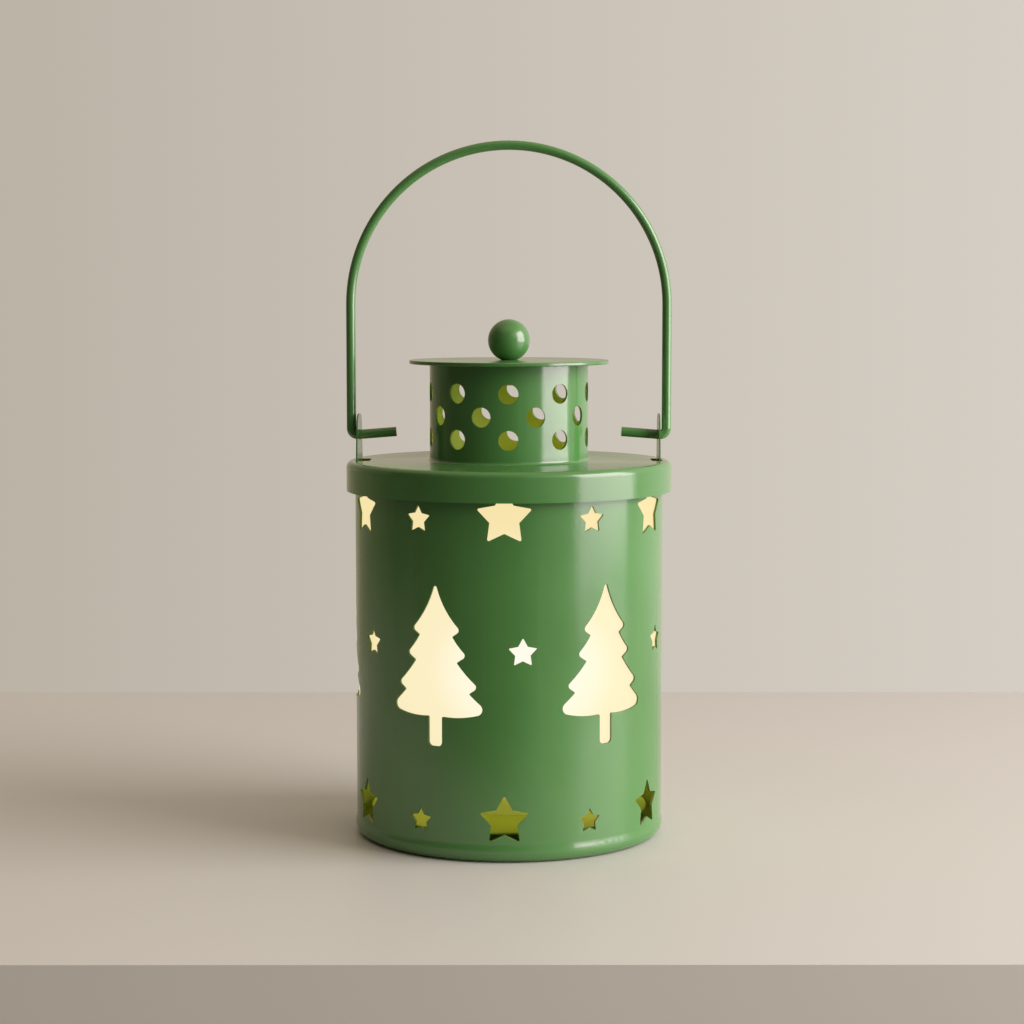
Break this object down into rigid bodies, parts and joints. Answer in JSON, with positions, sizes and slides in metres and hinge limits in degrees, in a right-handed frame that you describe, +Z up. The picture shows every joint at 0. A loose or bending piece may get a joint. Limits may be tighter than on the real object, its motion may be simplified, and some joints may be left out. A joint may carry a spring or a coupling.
{
  "type": "punched tin lantern",
  "caption": "Round green tin lantern with punched stars and fir trees, a push-on lid with a vented chimney and ball knob, a swinging wire bail and a battery candle inside.",
  "frame": {"origin": "centre of the foot, on the surface that the lantern stands on", "axes": "+Z up along the lantern's axis, +X along the bail's pivot line towards the right ear, -Y towards the front"},
  "size_m": [0.117, 0.117, 0.2491],
  "materials": {
    "green_enamel": "gloss enamel on tinplate",
    "plated_steel": "zinc plated",
    "frosted_film": "frosted translucent film, lit from inside",
    "ivory_plastic": "wax-like moulding",
    "flame_plastic": "translucent moulding",
    "led_resin": "clear resin",
    "white_plastic": "moulded",
    "board_laminate": "solder-masked laminate",
    "cell_steel": "coin cell can",
    "contact_metal": "nickel plated",
    "black_plastic": "moulded"
  },
  "bodies": {
    "lantern_body": {"body_shell": "green_enamel", "floor_plate": "green_enamel", "floor_ring": "green_enamel", "candle_cup": "green_enamel", "cup_rivet": "plated_steel", "diffuser_sleeve": "frosted_film", "sleeve_clips": "green_enamel"},
    "lid": {"lid_cover": "green_enamel", "chimney": "green_enamel", "chimney_cap": "green_enamel", "cap_bridge": "green_enamel", "knob": "green_enamel", "knob_screw": "plated_steel", "screw_washer": "plated_steel", "ear_left": "green_enamel", "ear_right": "green_enamel"},
    "bail": {"bail_handle": "green_enamel"},
    "candle": {"candle_shell": "ivory_plastic", "flame_tip": "flame_plastic", "led": "led_resin", "led_holder": "white_plastic", "circuit_board": "board_laminate", "board_screws": "plated_steel", "candle_base": "ivory_plastic", "battery": "cell_steel", "battery_contacts": "contact_metal", "battery_door": "ivory_plastic", "door_screws": "plated_steel", "switch_body": "contact_metal"},
    "switch": {"switch_slider": "black_plastic"}
  },
  "joints": [
    {"name": "lid_lift", "type": "slide", "parent": "lantern_body", "child": "lid", "axis": [0, 0, 1], "range_m": [0, 0.09]},
    {"name": "bail_swing", "type": "hinge", "parent": "lid", "child": "bail", "pos_m": [0, 0, 0.1442], "axis": [1, 0, 0], "range_deg": [-116, 116]},
    {"name": "candle_lift", "type": "slide", "parent": "lantern_body", "child": "candle", "axis": [0, 0, 1], "range_m": [0, 0.08]},
    {"name": "switch_slide", "type": "slide", "parent": "candle", "child": "switch", "axis": [0, 1, 0], "range_m": [0, 0.0024]}
  ]
}
